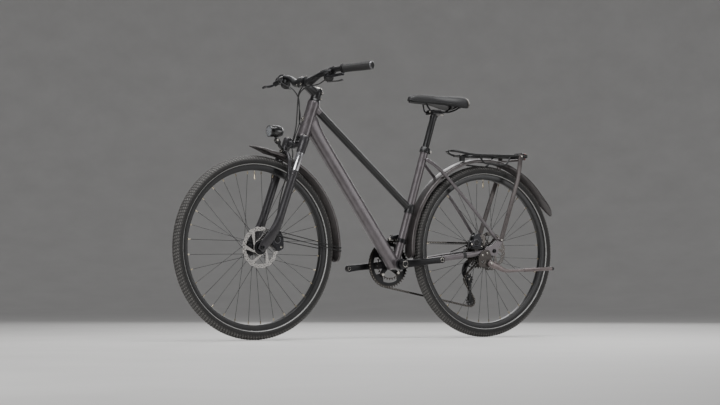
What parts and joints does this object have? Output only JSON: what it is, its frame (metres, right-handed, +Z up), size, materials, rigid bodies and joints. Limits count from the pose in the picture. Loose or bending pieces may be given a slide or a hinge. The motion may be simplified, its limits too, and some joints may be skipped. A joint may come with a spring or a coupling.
{
  "type": "step through bike",
  "caption": "Step-through trekking bicycle with suspension fork, disc brakes, derailleur gears, mudguards, rear rack, lamps and a folding kickstand.",
  "frame": {"origin": "on the floor under the middle of the outline", "axes": "+X the way it rides, +Y its left side, +Z up"},
  "size_m": [1.8306, 0.691, 1.0667],
  "materials": {
    "frame_grey": "satin grey-brown metallic paint",
    "satin_black": "satin black anodised",
    "cast_black": "satin black cast and painted",
    "fork_grey": "satin dark grey paint",
    "fork_chrome": "polished",
    "rotor_steel": "brushed",
    "dark_steel": "dark oiled steel",
    "stand_grey": "satin warm grey",
    "tyre_black": "matt black",
    "soft_black": "matt black",
    "hose_black": "matt black",
    "plastic_black": "fine satin black",
    "guard_grey": "satin grey-brown metallic",
    "lamp_black": "gloss black",
    "lens_red": "red lens",
    "saddle_cover": "matt black",
    "post_black": "satin black"
  },
  "bodies": {
    "frame": {"head_tube": "frame_grey", "down_tube": "frame_grey", "top_tube": "satin_black", "seat_tube": "frame_grey", "seat_collar": "satin_black", "bottom_bracket_shell": "cast_black", "chainstay_left": "frame_grey", "chainstay_right": "frame_grey", "seatstay_left": "frame_grey", "seatstay_right": "frame_grey", "rear_axle": "dark_steel", "front_derailleur": "cast_black", "rear_derailleur": "plastic_black", "rear_brake_caliper": "cast_black", "rear_brake_hose": "hose_black", "rear_mudguard": "guard_grey", "rack": "satin_black", "rack_struts": "stand_grey", "tail_light": "lens_red", "kickstand_bracket": "stand_grey", "chain": "dark_steel"},
    "seat": {"seatpost": "post_black", "saddle_base": "plastic_black", "saddle_cushion": "saddle_cover"},
    "steering": {"fork_upper": "fork_chrome", "stem": "satin_black", "handlebar": "satin_black", "grip_left": "soft_black", "grip_right": "soft_black", "control_left": "cast_black", "control_right": "cast_black", "control_cables": "hose_black"},
    "fork": {"fork_lowers": "fork_grey", "front_axle": "dark_steel", "front_brake_caliper": "cast_black", "front_mudguard": "guard_grey", "lamp_bracket": "satin_black", "front_brake_hose": "hose_black"},
    "lamp": {"headlamp": "lamp_black"},
    "front_wheel": {"front_tyre": "tyre_black", "front_rim": "satin_black", "front_hub": "cast_black", "front_rotor": "rotor_steel"},
    "rear_wheel": {"rear_tyre": "tyre_black", "rear_rim": "satin_black", "rear_hub": "cast_black", "rear_rotor": "rotor_steel"},
    "cassette": {"cassette": "dark_steel"},
    "crankset": {"crank_arm_right": "cast_black", "crank_arm_left": "cast_black", "chainrings": "dark_steel"},
    "front_cage": {"front_derailleur_cage": "rotor_steel"},
    "rear_cage": {"rear_derailleur_cage": "cast_black"},
    "guide_pulley": {"guide_pulley": "plastic_black"},
    "tension_pulley": {"tension_pulley": "plastic_black"},
    "kickstand": {"kickstand_leg": "stand_grey"},
    "brake_lever_left": {"brake_lever_left": "satin_black"},
    "brake_lever_right": {"brake_lever_right": "satin_black"},
    "shift_lever_left": {"shift_lever_left": "plastic_black"},
    "shift_lever_right": {"shift_lever_right": "plastic_black"}
  },
  "joints": [
    {"name": "steering_turn", "type": "hinge", "parent": "frame", "child": "steering", "pos_m": [0.50476, 0, 0.33616], "axis": [-0.342, 0, 0.9397], "range_deg": [-60, 60], "deforming": ["control_cables"]},
    {"name": "fork_travel", "type": "slide", "parent": "steering", "child": "fork", "axis": [-0.342, 0, 0.9397], "range_m": [0, 0.05], "stiffness_N_per_m": 9000, "springref_m": -0.01, "deforming": ["front_brake_hose"]},
    {"name": "front_wheel_spin", "type": "hinge", "parent": "fork", "child": "front_wheel", "pos_m": [0.55926, 0, 0.356], "axis": [0, 1, 0], "continuous": true},
    {"name": "rear_wheel_spin", "type": "hinge", "parent": "frame", "child": "rear_wheel", "pos_m": [-0.55074, 0, 0.356], "axis": [0, 1, 0], "continuous": true},
    {"name": "crank_spin", "type": "hinge", "parent": "frame", "child": "crankset", "pos_m": [-0.10274, 0, 0.298], "axis": [0, 1, 0], "continuous": true},
    {"name": "cassette_spin", "type": "hinge", "parent": "frame", "child": "cassette", "pos_m": [-0.55074, 0, 0.356], "axis": [0, 1, 0], "continuous": true},
    {"name": "cage_swing", "type": "hinge", "parent": "frame", "child": "rear_cage", "pos_m": [-0.50874, -0.047, 0.24], "axis": [0, 1, 0], "range_deg": [-20, 25], "stiffness_Nm_per_rad": 2, "deforming": ["chain"]},
    {"name": "guide_spin", "type": "hinge", "parent": "rear_cage", "child": "guide_pulley", "pos_m": [-0.50874, -0.047, 0.24], "axis": [0, 1, 0], "continuous": true},
    {"name": "tension_spin", "type": "hinge", "parent": "rear_cage", "child": "tension_pulley", "pos_m": [-0.51774, -0.047, 0.149], "axis": [0, 1, 0], "continuous": true},
    {"name": "front_cage_shift", "type": "slide", "parent": "frame", "child": "front_cage", "axis": [0, 1, 0], "range_m": [-0.002, 0.002]},
    {"name": "seatpost_slide", "type": "slide", "parent": "frame", "child": "seat", "axis": [-0.3024, 0, 0.9532], "range_m": [-0.08, 0.06]},
    {"name": "kickstand_swing", "type": "hinge", "parent": "frame", "child": "kickstand", "pos_m": [-0.52174, 0.0886, 0.304], "axis": [0, 0.9741, 0.226], "range_deg": [-100, 0]},
    {"name": "lamp_tilt", "type": "hinge", "parent": "fork", "child": "lamp", "pos_m": [0.46126, 0, 0.775], "axis": [0, 1, 0], "range_deg": [-15, 15]},
    {"name": "brake_lever_left_pull", "type": "hinge", "parent": "steering", "child": "brake_lever_left", "pos_m": [0.34866, 0.18874, 1.01814], "axis": [0.6154, 0.0037, 0.7882], "range_deg": [0, 20], "stiffness_Nm_per_rad": 0.6},
    {"name": "brake_lever_right_pull", "type": "hinge", "parent": "steering", "child": "brake_lever_right", "pos_m": [0.34866, -0.18874, 1.01814], "axis": [-0.6154, 0.0037, -0.7882], "range_deg": [0, 20], "stiffness_Nm_per_rad": 0.6},
    {"name": "shift_lever_left_push", "type": "hinge", "parent": "steering", "child": "shift_lever_left", "pos_m": [0.31998, 0.15901, 0.99924], "axis": [0, 0.1146, -0.9934], "range_deg": [0, 20], "stiffness_Nm_per_rad": 0.3},
    {"name": "shift_lever_right_push", "type": "hinge", "parent": "steering", "child": "shift_lever_right", "pos_m": [0.31998, -0.15901, 0.99924], "axis": [0, 0.1146, 0.9934], "range_deg": [0, 20], "stiffness_Nm_per_rad": 0.3}
  ],
  "couplings": [
    {"joint": "cassette_spin", "follows": "crank_spin", "ratio": 2.7059},
    {"joint": "guide_spin", "follows": "crank_spin", "ratio": -4.1818},
    {"joint": "tension_spin", "follows": "crank_spin", "ratio": 4.1818}
  ]
}
